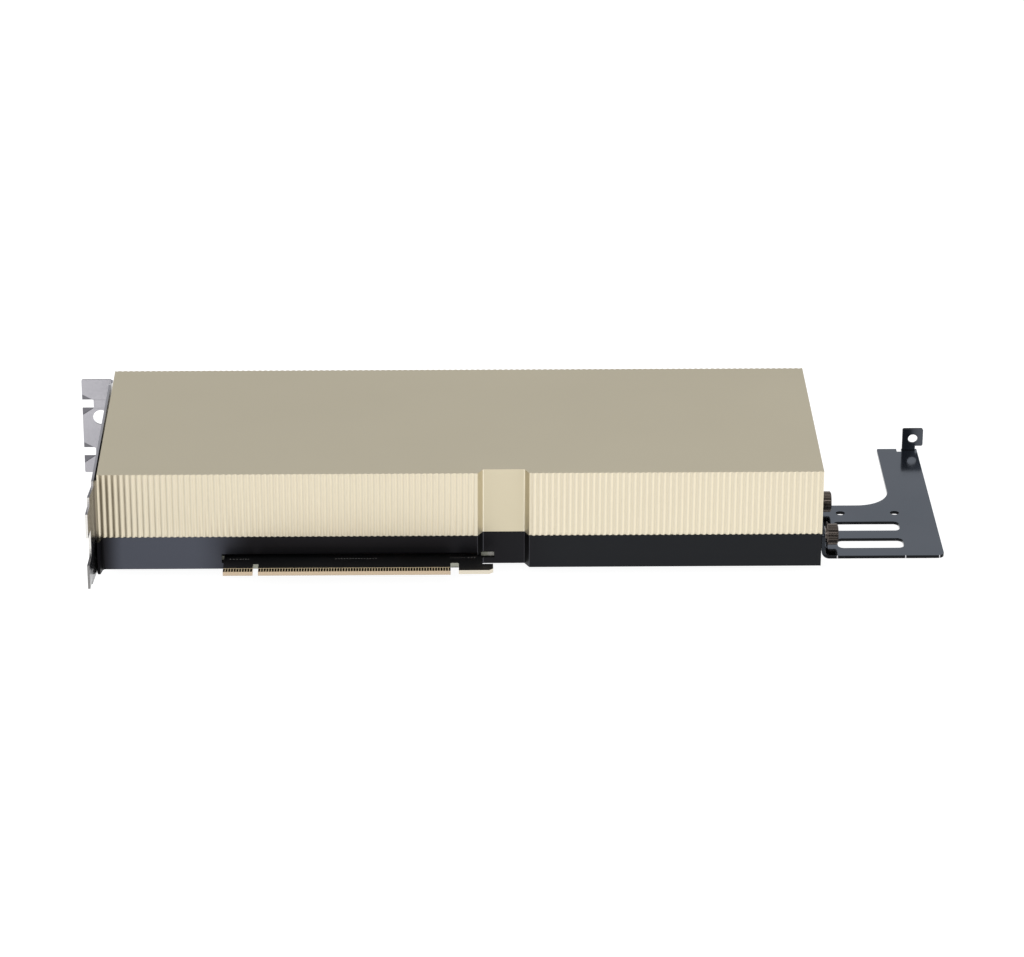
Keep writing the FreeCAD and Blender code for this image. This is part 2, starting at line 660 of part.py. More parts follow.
def contact_row(name, z, first, count):
    sk = attach(b, name + "_outline", "XY_Plane", z)
    c = ton_a + 0.37 + pad_pitch * first
    rect(sk, c - pad_w / 2, -pad_out, c + pad_w / 2, -pad_in)
    f = pad(b, name, sk, pad_t)
    repeat(b, name + "_row", f, sk, "H_Axis", pad_pitch, count)


contact_row("upper_short", pcb_hi, 0, 11)
contact_row("upper_long", pcb_hi, 13, 71)
contact_row("lower_short", pcb_lo - pad_t, 0, 11)
contact_row("lower_long", pcb_lo - pad_t, 13, 71)

# ------------------------------------------------- processor and its stack
sub_lo = pcb_hi
sub_hi = pcb_hi + gpu_t
half = gpu_w / 2
g = block("substrate_block", gpu_x - half, gpu_y - half, sub_lo, gpu_w, gpu_w, gpu_t)
group("processor_substrate", [g])
g = block("die_block", gpu_x - 13.0, gpu_y - 16.5, sub_hi, 26.0, 33.0, die_t)
group("processor_die", [g])
items = []
for i, sx in enumerate((-1, 1)):
    for j in range(3):
        items.append(block("stack_%d_%d" % (i, j), gpu_x + (13.6 if sx > 0 else -23.6),
                           gpu_y + (j * 11.2 - 16.2), sub_hi, 10.0, 10.6, die_t))
group("memory_stacks", items)
outer = block("stiffener_outer", gpu_x - 27.0, gpu_y - 27.0, sub_hi, 54.0, 54.0, 0.6)
inner = block("stiffener_inner", gpu_x - 24.0, gpu_y - 24.0, sub_hi - 1.0, 48.0, 48.0, 3.0)
c = cut("package_stiffener", outer, inner)
place(c)
tim_lo = sub_hi + die_t
g = block("interface_sheet", gpu_x - 23.6, gpu_y - 16.5, tim_lo, 47.2, 33.0, sink_lo - 3.9 - tim_lo)
group("thermal_interface", [g])
g = block("chamber_block", gpu_x - 36.0, gpu_y - 30.0, sink_lo - 3.9, 72.0, 60.0, 3.9)
group("vapor_chamber", [g])

# Heatsink: one skived block, a base with thin fins along the air's way.
b = make_body("heatsink")
s = attach(b, "base_outline", "XY_Plane", sink_lo)
sink_y1 = sink_y0 + fin_p * (fin_n - 1) + fin_t
rect(s, sink_x0, sink_y0, sink_x1, sink_y1)
pad(b, "base_plate", s, sink_base)
s = attach(b, "fin_outline", "XY_Plane", sink_lo + sink_base - 0.1)
rect(s, sink_x0, sink_y0, sink_x1, sink_y0 + fin_t)
f = pad(b, "fin", s, sink_hi - sink_lo - sink_base + 0.1)
repeat(b, "fins", f, s, "V_Axis", fin_p, fin_n)
s = attach(b, "sink_hole_outline", "XY_Plane", sink_lo)
for px, py in SINK_SCREWS:
    circle(s, px, py, 2.54)
pocket(b, "sink_holes", s, 2.2, rev=True)

# Steel backing plate under the board and the screws that pull the heatsink down.
outer = block("backing_outer", 88.0, 12.0, pcb_lo - 0.95, 64.0, 80.0, 0.95)
inner = block("backing_window", 103.0, 35.0, pcb_lo - 2.0, 34.0, 34.0, 4.0)
holes = [rod("backing_hole_%d" % i, px, py, pcb_lo - 2.0, 2.9, 4.0)
         for i, (px, py) in enumerate(SINK_SCREWS)]
c = cut("backing_plate", outer, fuse("backing_tools", [inner] + holes))
place(c)
items = []
for i, (px, py) in enumerate(SINK_SCREWS):
    head = rod("sink_screw_head_%d" % i, px, py, 0.25, 5.2, 1.3)
    stem = rod("sink_screw_stem_%d" % i, px, py, 1.5, 2.5, 11.4)
    drive = rod("sink_screw_drive_%d" % i, px, py, 0.0, 1.8, 0.95)
    items.append(cut("sink_screw_%d" % i, fuse("sink_screw_body_%d" % i, [head, stem]), drive))
group("heatsink_screws", items)
items = []
for i, (px, py) in enumerate(BOARD_SCREWS):
    head = rod("board_screw_head_%d" % i, px, py, pcb_hi, 4.6, 1.5)
    stem = rod("board_screw_stem_%d" % i, px, py, 1.2, 2.5, pcb_hi - 1.1)
    drive = rod("board_screw_drive_%d" % i, px, py, pcb_hi + 0.8, 1.8, 1.5)
    items.append(cut("board_screw_%d" % i, fuse("board_screw_body_%d" % i, [head, stem]), drive))
group("board_screws", items)
g = block("film_block", 14.0, 24.0, tray_floor, 236.0, 56.0, 0.25)
group("insulating_film", [g])

# Power conversion each side of the processor, and the smaller chips.
VRM_Y = [27.0 + 10.0 * i for i in range(6)]
items, stages, pads_ = [], [], []
for side, (xi, xs) in enumerate(((76.0, 86.2), (164.0, 153.8))):
    for j, y in enumerate(VRM_Y):
        items.append(block("choke_%d_%d" % (side, j), xi - 4.0, y - 4.0, pcb_hi, 8.0, 8.0, 5.0))
        stages.append(block("stage_%d_%d" % (side, j), xs - 2.2, y - 3.0, pcb_hi, 4.4, 6.0, 0.9))
    pads_.append(block("choke_pad_%d" % side, xi - 4.0, 23.0, pcb_hi + 5.0, 8.0, 58.0,
                       sink_lo - pcb_hi - 5.0))
    px = 84.0 if side == 0 else 151.6
    pads_.append(block("stage_pad_%d" % side, px, 24.0, pcb_hi + 0.9, 4.4, 56.0,
                       sink_lo - 3.9 - pcb_hi - 0.9))
group("inductors", items)
group("power_stages", stages)
group("thermal_pads", pads_)
items = []
for i, x in enumerate((178.0, 187.0)):
    for j in range(7):
        items.append(rod("can_%d_%d" % (i, j), x, 22.0 + 9.5 * j, pcb_hi, 6.3, 5.8))
for j in range(3):
    items.append(rod("can_in_%d" % j, 254.0, 46.0 + 8.0 * j, pcb_hi, 6.3, 5.8))
group("capacitors", items)
CHIPS = [(24.0, 44.0, 14.0, 14.0, 1.3), (26.0, 68.0, 9.0, 9.0, 1.0), (50.0, 30.0, 6.0, 5.0, 1.6),
         (50.0, 44.0, 8.0, 8.0, 0.9), (50.0, 66.0, 6.0, 5.0, 1.6), (204.0, 34.0, 7.0, 7.0, 0.9),
         (204.0, 56.0, 12.0, 12.0, 1.2), (222.0, 40.0, 6.0, 5.0, 1.6)]
items = [block("chip_%d" % i, x, y, pcb_hi, dx, dy, dz)
         for i, (x, y, dx, dy, dz) in enumerate(CHIPS)]
group("logic_chips", items)

# ---------------------------------------------------------- power connector
# Right-angle header with two rows of four cells, facing the right end.
pw_x0, pw_x1, pw_y0, pw_z1 = 248.6, 261.4, 70.2, 9.8
shell = block("header_shell", pw_x0, pw_y0, pcb_hi, pw_x1 - pw_x0, 18.6, pw_z1)
latch = block("header_latch", pw_x0 + 1.0, pw_y0 + 7.3, pcb_hi + (pw_z1 - 0.1), pw_x1 - pw_x0 - 1.0, 4.0, 1.3)
cells = []
for r_ in range(2):
    for c_ in range(4):
        cells.append(block("cell_%d_%d" % (r_, c_), pw_x0 + 2.2, pw_y0 + 1.25 + 4.2 * c_,
                           pcb_hi + (1.05 + 4.2 * r_), pw_x1 - pw_x0, 3.5, 3.5))
c = cut("power_connector", fuse("header_body", [shell, latch]), fuse("header_cells", cells))
place(c)
items = []
for r_ in range(2):
    for c_ in range(4):
        items.append(block("pin_%d_%d" % (r_, c_), pw_x0 + 2.2, pw_y0 + 2.45 + 4.2 * c_,
                           pcb_hi + (2.25 + 4.2 * r_), 9.0, 1.1, 1.1))
group("power_pins", items)

# -------------------------------------------------------------- I/O bracket
# One folded sheet: plate with vent slots, two tongues at the front and the
# notched tab that screws to the chassis at the back.
b = make_body("io_bracket")
px0 = brk_x + brk_t
s = attach(b, "plate_outline", "YZ_Plane", -px0)
back = tab_y + brk_t
poly(s, [(-bend_y, -brk_lo), (-bend_y, brk_hi), (89.0, brk_hi), (97.2, 34.2), (back, 34.2),
         (back, -brk_lo)])
pad(b, "plate", s, brk_t)
# In front of the bend the sheet leans outwards: a narrow strip over the full
# height, a deeper web, and two tongues that reach furthest.
lean = (web_x - brk_x) / (web_y - bend_y)


def leaning(name, z0, height, ya, xa, yb, xb):
    """One upright slab of the leaning sheet between two places in plan."""
    sk = attach(b, name + "_outline", "XY_Plane", z0)
    poly(sk, [(-xa, 0.0 - ya), (-xa - brk_t, 0.0 - ya), (-xb - brk_t, 0.0 - yb), (-xb, 0.0 - yb)])
    pad(b, name, sk, height)


leaning("strip", -brk_lo, brk_hi + brk_lo, bend_y, brk_x, brk_y, brk_x + lean * (brk_y - bend_y))
leaning("web", 0.0, 34.8, bend_y, brk_x, web_y, web_x)
leaning("lower_tongue", 1.5, 9.4, web_y, web_x, tip_y, tip_x)
leaning("upper_tongue", 21.8, 9.5, web_y, web_x, tip_y, tip_x)
s = attach(b, "tab_outline", "XZ_Plane", -back)
up_z = notch_z + slot_pitch - 0.07
nh = notch_w / 2
poly(s, [(-brk_x, -brk_lo), (-brk_x, 34.2), (-px0, 34.2), (-px0, tab_hi), (-tab_x, tab_hi),
         (-tab_x, up_z + nh), (-8.9, up_z + nh), (-8.9, up_z - nh), (-tab_x, up_z - nh),
         (-tab_x, notch_z + nh), (-8.75, notch_z + nh), (-8.75, notch_z - nh),
         (-tab_x, notch_z - nh), (-tab_x, -tab_lo), (-px0, -tab_lo), (-px0, -brk_lo)])
pad(b, "tab", s, brk_t)
s = attach(b, "relief_outline", "XZ_Plane", 1.0 - back)
circle(s, -6.2, 18.55, 6.2)
pocket(b, "relief_hole", s, 3.0)
# Coined lead-ins above and below each notch, on the tab's front face.
s = attach(b, "coin_outline", "XZ_Plane", -tab_y)
for zc in (up_z, notch_z):
    poly(s, [(-tab_x, zc + nh), (-9.1, zc + nh), (-tab_x, zc + nh + 2.3)])
    poly(s, [(-tab_x, zc - nh), (-tab_x, zc - nh - 2.8), (-9.1, zc - nh)])
pocket(b, "coined_ramps", s, 0.35)
round_edges(b, "tab_corners", 0.6, lambda e: along(e, "y", x=-tab_x, z=tab_hi)
            or along(e, "y", x=-tab_x, z=-tab_lo))
round_edges(b, "bend_outer", brk_t + 0.45,
            lambda e: along(e, "z", x=-brk_x, y=back) and e.Length > 20.0)
round_edges(b, "bend_inner", 0.45,
            lambda e: along(e, "z", x=-px0, y=tab_y) and e.Length > 20.0)
s = attach(b, "vent_outline", "YZ_Plane", -brk_x + 0.5)
slot(s, 15.6, 15.6 + vent_h, 7.0, vent_w, upright=True)
f = pocket(b, "vent", s, brk_t + 1.0)
repeat(b, "vents", f, s, "H_Axis", vent_p, vent_n)
s = attach(b, "screw_clear_outline", "YZ_Plane", -brk_x + 0.5)
for py, pz in BRACKET_SCREWS:
    circle(s, py, pz, 2.8)
pocket(b, "screw_clearance", s, brk_t + 1.0)

items = []
for i, (py, pz) in enumerate(BRACKET_SCREWS):
    head = cone("bracket_head_%d" % i, -px0 - 1.2, py, pz, 3.6, 5.0, 1.2, "x")
    stem = rod("bracket_stem_%d" % i, -px0 - 0.2, py, pz, 2.5, 7.0, "x")
    drive = rod("bracket_drive_%d" % i, -px0 - 1.4, py, pz, 1.6, 1.0, "x")
    items.append(cut("bracket_screw_%d" % i, fuse("bracket_body_%d" % i, [head, stem]), drive))
group("bracket_screws", items)

items = []
for i, (px, py) in enumerate(POSTS):
    head = cone("cover_head_%d" % i, px, py, 0.05, 5.6, 3.2, 1.4)
    stem = rod("cover_stem_%d" % i, px, py, 1.3, 3.0, 18.7)
    drive = rod("cover_drive_%d" % i, px, py, -0.2, 1.9, 1.0)
    items.append(cut("cover_screw_%d" % i, fuse("cover_body_%d" % i, [head, stem]), drive))
group("cover_screws", items)

# --------------------------------------------------------- extender bracket
# Folded steel sheet: flange on the card's right end, flat arm and leg, and a
# small flag tab bent up at the back end of the leg.
b = make_body("extender_bracket")
ez0 = ext_z - ext_t
ro = ext_r + ext_t
fx1 = ext_x0 + ext_t
s = attach(b, "fold_outline", "XZ_Plane", -ext_y0)
# Flange and bend in section: two concentric quarter arcs join the flats.
cx, cz = fx1 + ext_r, ext_z + ext_r
zup = V(0, 0, 1)


def P(x, z):
    return V(as_size(x).num, as_size(z).num, 0)


s.addGeometry([
    Part.LineSegment(P(ext_x0, cz), P(ext_x0, ext_hi)),
    Part.LineSegment(P(ext_x0, ext_hi), P(fx1, ext_hi)),
    Part.LineSegment(P(fx1, ext_hi), P(fx1, cz)),
    Part.ArcOfCircle(Part.Circle(P(cx, cz), zup, ext_r.num), math.pi, 1.5 * math.pi),
    Part.LineSegment(P(cx, ext_z), P(cx + 2.0, ext_z)),
    Part.LineSegment(P(cx + 2.0, ext_z), P(cx + 2.0, ez0)),
    Part.LineSegment(P(cx + 2.0, ez0), P(cx, ez0)),
    Part.ArcOfCircle(Part.Circle(P(cx, cz), zup, ro.num), math.pi, 1.5 * math.pi),
], False)
C = Sketcher.Constraint
s.addConstraint([C("Coincident", 0, 2, 1, 1), C("Coincident", 1, 2, 2, 1),
                 C("Tangent", 2, 2, 3, 1), C("Tangent", 3, 2, 4, 1),
                 C("Coincident", 4, 2, 5, 1), C("Coincident", 5, 2, 6, 1),
                 C("Tangent", 6, 2, 7, 2), C("Tangent", 7, 1, 0, 1),
                 C("Vertical", 0), C("Horizontal", 1), C("Vertical", 2), C("Horizontal", 4),
                 C("Vertical", 5), C("Horizontal", 6)])
fix(s, "DistanceX", 0, 2, ext_x0)
fix(s, "DistanceY", 0, 2, ext_hi)
fix(s, "DistanceX", 1, 2, fx1)
fix(s, "DistanceX", 3, 3, cx)
fix(s, "DistanceY", 3, 3, cz)
fix(s, "DistanceX", 7, 3, cx)
fix(s, "DistanceY", 7, 3, cz)
fix(s, "DistanceX", 4, 2, cx + 2.0)
pad(b, "flange", s, ext_y1 - ext_y0, rev=True)
s = attach(b, "plate_outline", "XY_Plane", ez0)
poly(s, [(cx, ext_y0), (ext_x2, ext_y0), (ext_x2, ext_y2), (306.7, ext_y2), (306.7, 96.0),
         (304.9, 96.0), (304.9, ext_y2), (ext_x1, ext_y2), (ext_x1, ext_y1), (cx, ext_y1)])
pad(b, "plate", s, ext_t)
s = attach(b, "flag_outline", "XZ_Plane", -98.5)
poly(s, [(306.95, ez0 + 0.2), (312.1, ez0 + 0.2), (312.1, 5.7), (315.05, 5.7), (315.05, 12.9),
         (306.95, 12.9)])
pad(b, "flag", s, ext_t)
s = attach(b, "flag_hole_outline", "XZ_Plane", -96.0)
circle(s, 311.1, 8.7, 3.7)
pocket(b, "flag_hole", s, 4.0)
s = attach(b, "plate_cuts_outline", "XY_Plane", ext_z + 0.5)
rect(s, sl_a, sl_r0, sl_b, sl_r1)
rect(s, sl_a, sl_f0, sl_b, sl_f1)
circle(s, 277.5, 38.25, 3.4)
circle(s, 298.07, 38.25, 3.4)
pocket(b, "plate_cuts", s, ext_t + 1.0)
round_edges(b, "slot_corners", sl_rad, lambda e: any(along(e, "z", x=cx_, y=cy_)
                                                     for cx_ in (sl_a, sl_b)
                                                     for cy_ in (sl_r0, sl_r1, sl_f0, sl_f1)))
s = attach(b, "flange_holes_outline", "YZ_Plane", fx1 + 0.5)
circle(s, scr_y1, scr_z, 3.6)
circle(s, scr_y2, scr_z, 3.6)
pocket(b, "flange_holes", s, ext_t + 1.0)
round_edges(b, "inner_corner", ext_f, lambda e: along(e, "z", x=ext_x1, y=ext_y1))
round_edges(b, "front_corner", 2.5, lambda e: along(e, "z", x=ext_x2, y=ext_y0))
round_edges(b, "leg_corner", 0.8, lambda e: along(e, "z", x=ext_x1, y=ext_y2))
round_edges(b, "flange_corner", 2.5, lambda e: along(e, "x", y=ext_y0, z=ext_hi)
            or along(e, "x", y=ext_y1, z=ext_hi))
round_edges(b, "flag_corners", 0.7, lambda e: along(e, "y", x=315.05, z=12.9)
            or along(e, "y", x=315.05, z=5.7) or along(e, "y", x=306.95, z=12.9))


# -------------------------------------------------------------- thumbscrews
def thumbscrew(label, yc):
    """Knurled head, thin flange, collar and shank turned about an axis along X."""
    t = make_body(label)
    sk = attach(t, "turned_outline", "XY_Plane", scr_z)
    face = fx1 + 0.5
    poly(sk, [(263.4, yc), (263.4, yc + shank_d / 2), (face, yc + shank_d / 2), (face, yc + 2.9),
              (face + 0.6, yc + 2.9), (face + 0.6, yc + 4.7), (face + 0.9, yc + 4.7),
              (face + 0.9, yc + scr_d / 2), (face + 4.42, yc + scr_d / 2),
              (face + 4.85, yc + (scr_d / 2 - 0.45)), (face + 4.85, yc)])
    doc.recompute()
    rev = t.newObject("PartDesign::Revolution", "turned")
    rev.Profile = sk
    rev.ReferenceAxis = (sk, ["Axis0"])
    # The axis of revolution is a construction line through the sketch.
    n = sk.addGeometry(Part.LineSegment(V(262.0, yc.num, 0), V(275.0, yc.num, 0)), True)
    fix(sk, "DistanceX", n, 1, 262.0)
    fix(sk, "DistanceY", n, 1, yc)
    fix(sk, "DistanceX", n, 2, 275.0)
    fix(sk, "DistanceY", n, 2, yc)
    rev.ReferenceAxis = (sk, ["Axis0"])
    rev.Angle = 360
    doc.recompute()
    # One flute of the straight knurl, repeated round the head.
    k = attach(t, "flute_outline", "YZ_Plane", face + 6.0)
    r_ = scr_d / 2
    poly(k, [(yc - 0.23, scr_z + r_ + 0.1), (yc, scr_z + r_ - 0.38), (yc + 0.23, scr_z + r_ + 0.1)])
    fl = pocket(t, "flute", k, 5.06)
    doc.recompute()
    pp = t.newObject("PartDesign::PolarPattern", "knurl")
    pp.Originals = [fl]
    pp.Axis = (sk, ["Axis0"])
    pp.Angle = 360
    pp.Occurrences = 40
    t.Tip = pp
    doc.recompute()
    # Driver slot across the outer end.
    k = attach(t, "driver_outline", "YZ_Plane", face + 6.0)
    rect(k, yc - 0.6, scr_z - 3.0, yc + 0.6, scr_z + 3.0)
    pocket(t, "driver_slot", k, 1.8)
    return t


thumbscrew("thumbscrew_front", scr_y1)
thumbscrew("thumbscrew_rear", scr_y2)

items, ins = [], []
for i, yc in enumerate((scr_y1, scr_y2)):
    ring = rod("washer_disc_%d" % i, fx1, yc, scr_z, 6.2, 0.5, "x")
    hole = rod("washer_hole_%d" % i, fx1 - 1.0, yc, scr_z, 3.3, 3.0, "x")
    items.append(cut("washer_%d" % i, ring, hole))
    ring = rod("insert_body_%d" % i, tray_len - 4.0, yc, scr_z, 5.0, 4.0, "x")
    hole = rod("insert_bore_%d" % i, tray_len - 5.0, yc, scr_z, bore_d, 6.0, "x")
    ins.append(cut("insert_%d" % i, ring, hole))
group("thumbscrew_washers", items)
group("threaded_inserts", ins)

# ------------------------------------------------------- checks and export
doc.recompute()
bad = []
for o in doc.Objects:
    if any(st in ("Invalid", "Error") for st in o.State):
        bad.append("%s: %s" % (o.Name, o.State))
for o in NODES:
    sh = o.Shape
    if sh.isNull() or not sh.isValid() or not sh.Solids:
        bad.append("%s: shape" % o.Label)
if bad:
    raise RuntimeError("not written: " + "; ".join(bad))
os.makedirs("parts", exist_ok=True)
for o in NODES:
    o.Shape.exportStep(os.path.join("parts", o.Label + ".step"))
    bb = o.Shape.BoundBox
    print("%-20s solids %3d  vol %9.1f  X %8.2f %8.2f  Y %8.2f %8.2f  Z %7.2f %7.2f"
          % (o.Label, len(o.Shape.Solids), o.Shape.Volume, bb.XMin, bb.XMax, bb.YMin, bb.YMax,
             bb.ZMin, bb.ZMax))
print("nodes", len(NODES))
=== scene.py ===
import bpy, bmesh, math, random
from mathutils import Vector, Matrix


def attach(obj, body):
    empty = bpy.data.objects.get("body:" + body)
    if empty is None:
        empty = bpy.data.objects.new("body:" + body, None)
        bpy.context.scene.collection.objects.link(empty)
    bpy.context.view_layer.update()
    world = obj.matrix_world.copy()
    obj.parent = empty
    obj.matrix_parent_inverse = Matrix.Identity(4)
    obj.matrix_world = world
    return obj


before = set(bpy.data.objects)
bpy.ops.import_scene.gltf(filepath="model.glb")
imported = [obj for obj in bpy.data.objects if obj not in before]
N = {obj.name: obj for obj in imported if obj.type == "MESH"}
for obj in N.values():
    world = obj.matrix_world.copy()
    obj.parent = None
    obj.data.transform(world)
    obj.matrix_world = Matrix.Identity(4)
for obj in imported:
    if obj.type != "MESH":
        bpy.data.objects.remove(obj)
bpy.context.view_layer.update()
MM = 0.001
OX, OY = 133.5, 49.7          # card corner to the row's origin, mm
random.seed(7)


def P(x, y, z):
    """A point given in card millimetres, in the frame's metres."""
    return Vector(((x - OX) * MM, (y - OY) * MM, z * MM))


# ------------------------------------------------------------------ camera
def add_camera():
    f, el, yaw, roll = 4142.676, 0.42044, 0.01908, 0.00286
    dist = 1559.78
    d = Vector((math.sin(yaw) * math.cos(el), math.cos(yaw) * math.cos(el), -math.sin(el)))
    r = Vector((math.cos(yaw), -math.sin(yaw), 0.0))
    u = r.cross(d)
    r2 = math.cos(roll) * r + math.sin(roll) * u
    u2 = -math.sin(roll) * r + math.cos(roll) * u
    loc = P(152.924, 35.904, 20.0) - d * dist * MM
    cam = bpy.data.cameras.new("camera")
    cam.sensor_fit = "HORIZONTAL"
    cam.sensor_width = 36.0
    cam.lens = f * 36.0 / 1024.0
    cam.clip_start = 0.05
    cam.clip_end = 50.0
    o = bpy.data.objects.new("camera", cam)
    m = Matrix((r2, u2, -d)).transposed().to_4x4()
    m.translation = loc
    o.matrix_world = m
    bpy.context.scene.collection.objects.link(o)
    bpy.context.scene.camera = o


add_camera()


# --------------------------------------------------------------- materials
class Mat:
    """Small helper round a Principled material and its node tree."""

    def __init__(self, name):
        self.m = bpy.data.materials.new(name)
        self.m.use_nodes = True
        self.t = self.m.node_tree
        self.t.nodes.clear()
        self.out = self.t.nodes.new("ShaderNodeOutputMaterial")
        self.b = self.t.nodes.new("ShaderNodeBsdfPrincipled")
        self.t.links.new(self.b.outputs[0], self.out.inputs[0])
        self.co = self.t.nodes.new("ShaderNodeTexCoord")
        self.geo = self.t.nodes.new("ShaderNodeNewGeometry")

    def n(self, kind, **kw):
        x = self.t.nodes.new(kind)
        for k, v in kw.items():
            setattr(x, k, v)
        return x

    def link(self, a, b):
        self.t.links.new(a, b)

    def set(self, **kw):
        for k, v in kw.items():
            self.b.inputs[k.replace("_", " ")].default_value = v

    def coords(self, scale=(1, 1, 1), loc=(0, 0, 0), rot=(0, 0, 0)):
        mp = self.n("ShaderNodeMapping")
        mp.inputs["Scale"].default_value = scale
        mp.inputs["Location"].default_value = loc
        mp.inputs["Rotation"].default_value = rot
        self.link(self.co.outputs["Object"], mp.inputs["Vector"])
        return mp.outputs[0]

    def noise(self, scale, detail=3.0, rough=0.55, stretch=(1, 1, 1), distortion=0.0):
        t = self.n("ShaderNodeTexNoise")
        t.inputs["Scale"].default_value = scale
        t.inputs["Detail"].default_value = detail
        t.inputs["Roughness"].default_value = rough
        t.inputs["Distortion"].default_value = distortion
        self.link(self.coords(stretch), t.inputs["Vector"])
        return t.outputs["Fac"]

    def ramp(self, fac, stops, interp="LINEAR"):
        r = self.n("ShaderNodeValToRGB")
        e = r.color_ramp.elements
        r.color_ramp.interpolation = interp
        while len(e) < len(stops):
            e.new(0.5)
        for i, (p, c) in enumerate(stops):
            e[i].position = p
            e[i].color = (*c, 1.0) if len(c) == 3 else c
        self.link(fac, r.inputs["Fac"])
        return r.outputs["Color"]

    def math(self, op, a, b=None, clamp=False):
        x = self.n("ShaderNodeMath", operation=op, use_clamp=clamp)
        for i, v in enumerate((a, b)):
            if v is None:
                continue
            if isinstance(v, (int, float)):
                x.inputs[i].default_value = v
            else:
                self.link(v, x.inputs[i])
        return x.outputs[0]

    def range(self, v, a, b, c, d, smooth=False):
        x = self.n("ShaderNodeMapRange")
        x.interpolation_type = "SMOOTHSTEP" if smooth else "LINEAR"
        self.link(v, x.inputs["Value"])
        for k, val in (("From Min", a), ("From Max", b), ("To Min", c), ("To Max", d)):
            x.inputs[k].default_value = val
        return x.outputs[0]

    def mix(self, fac, a, b, blend="MIX"):
        x = self.n("ShaderNodeMix", data_type="RGBA", blend_type=blend)
        for sock, v in ((x.inputs["Factor"], fac), (x.inputs["A"], a), (x.inputs["B"], b)):
            pass
        ins = [s for s in x.inputs if s.enabled]
        for s, v in zip(ins, (fac, a, b)):
            if hasattr(v, "is_output"):
                self.link(v, s)
            elif isinstance(v, (int, float)):
                s.default_value = v
            else:
                s.default_value = (*v, 1.0)
        outs = [s for s in x.outputs if s.enabled]
        return outs[0]

    def xyz(self):
        s = self.n("ShaderNodeSeparateXYZ")
        self.link(self.co.outputs["Object"], s.inputs[0])
        return s.outputs[0], s.outputs[1], s.outputs[2]

    def bump(self, height, strength, dist=0.0001, normal=None):
        x = self.n("ShaderNodeBump")
        x.inputs["Strength"].default_value = strength
        x.inputs["Distance"].default_value = dist
        self.link(height, x.inputs["Height"])
        if normal is not None:
            self.link(normal, x.inputs["Normal"])
        return x.outputs[0]

    def color(self, out):
        self.link(out, self.b.inputs["Base Color"])

    def rough(self, out):
        self.link(out, self.b.inputs["Roughness"])

    def normal(self, out):
        self.link(out, self.b.inputs["Normal"])


def simple(name, col, metallic=0.0, rough=0.5, var=0.12, scale=900.0, bump=0.15,
           stretch=(1, 1, 1), spec=0.5, coat=0.0, rvar=0.08, dist=0.00004):
    """A finish with fine grain, slight colour drift and uneven gloss."""
    m = Mat(name)
    m.set(Metallic=metallic)
    m.b.inputs["Specular IOR Level"].default_value = spec
    m.b.inputs["Coat Weight"].default_value = coat
    big = m.noise(60.0, 4.0, 0.6)
    fine = m.noise(scale, 4.0, 0.6, stretch)
    lo = tuple(c * (1 - var) for c in col)
    hi = tuple(min(1.0, c * (1 + var)) for c in col)
    c1 = m.ramp(big, [(0.3, lo), (0.7, hi)])
    c2 = m.mix(m.math("MULTIPLY", fine, var), c1, tuple(c * 0.7 for c in col))
    m.color(c2)
    m.rough(m.range(fine, 0.25, 0.75, max(0.02, rough - rvar), min(1.0, rough + rvar)))
    m.normal(m.bump(fine, bump, dist))
    return m.m


